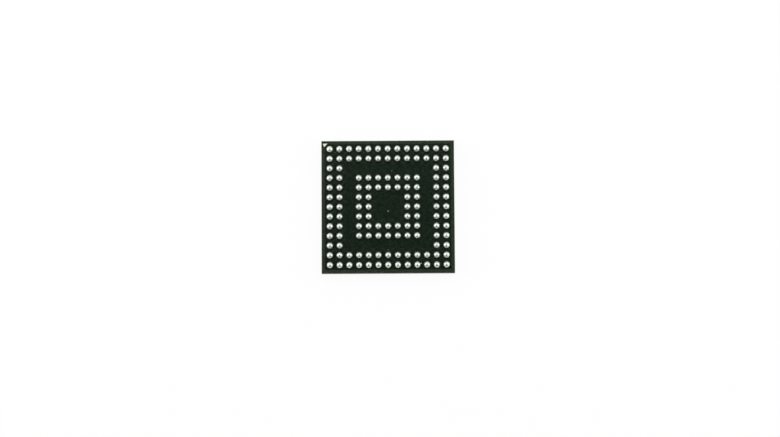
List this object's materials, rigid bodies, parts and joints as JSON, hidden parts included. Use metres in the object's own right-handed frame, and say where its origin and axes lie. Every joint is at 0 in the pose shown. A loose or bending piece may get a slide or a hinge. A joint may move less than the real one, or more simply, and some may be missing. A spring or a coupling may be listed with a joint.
{
  "type": "bga chip",
  "caption": "Square ball grid array chip lying balls up: moulded body, dark green substrate, two outer rows and an inner block of solder balls, gold triangle at the first corner.",
  "frame": {"origin": "centre of the moulded face that the chip lies on, at the bottom of the bounding box", "axes": "+Z from the moulded face towards the solder balls; the gold corner mark and ball A1 are at -X +Y; row letters count along +X and ball numbers along -Y"},
  "size_m": [0.011, 0.011, 0.0014],
  "materials": {
    "mold_compound": "fine matte epoxy mould compound",
    "silicon": "ground silicon",
    "pad_aluminium": "bare",
    "die_attach_epoxy": "silver filled epoxy",
    "bond_gold": "drawn gold wire",
    "solder_mask": "dark green satin solder mask",
    "copper": "etched copper foil",
    "laminate": "glass cloth laminate, sawn edge",
    "plated_gold": "gold plated, bright",
    "solder": "reflowed tin alloy, satin"
  },
  "bodies": {
    "root": {"mold_cap": "mold_compound", "silicon_die": "silicon", "die_bond_pads": "pad_aluminium", "die_attach": "die_attach_epoxy", "bond_wires_north": "bond_gold", "bond_wires_east": "bond_gold", "bond_wires_south": "bond_gold", "bond_wires_west": "bond_gold", "die_side_solder_mask": "solder_mask", "die_side_copper": "copper", "substrate_core": "laminate", "via_barrels": "copper", "ball_side_copper": "copper", "ball_side_solder_mask": "solder_mask", "corner_mark": "plated_gold", "test_spot": "plated_gold", "balls_row_a": "solder", "balls_row_b": "solder", "balls_row_c": "solder", "balls_row_d": "solder", "balls_row_e": "solder", "balls_row_f": "solder", "balls_row_g": "solder", "balls_row_h": "solder", "balls_row_j": "solder", "balls_row_k": "solder", "balls_row_l": "solder", "balls_row_m": "solder", "balls_row_n": "solder"}
  },
  "joints": []
}
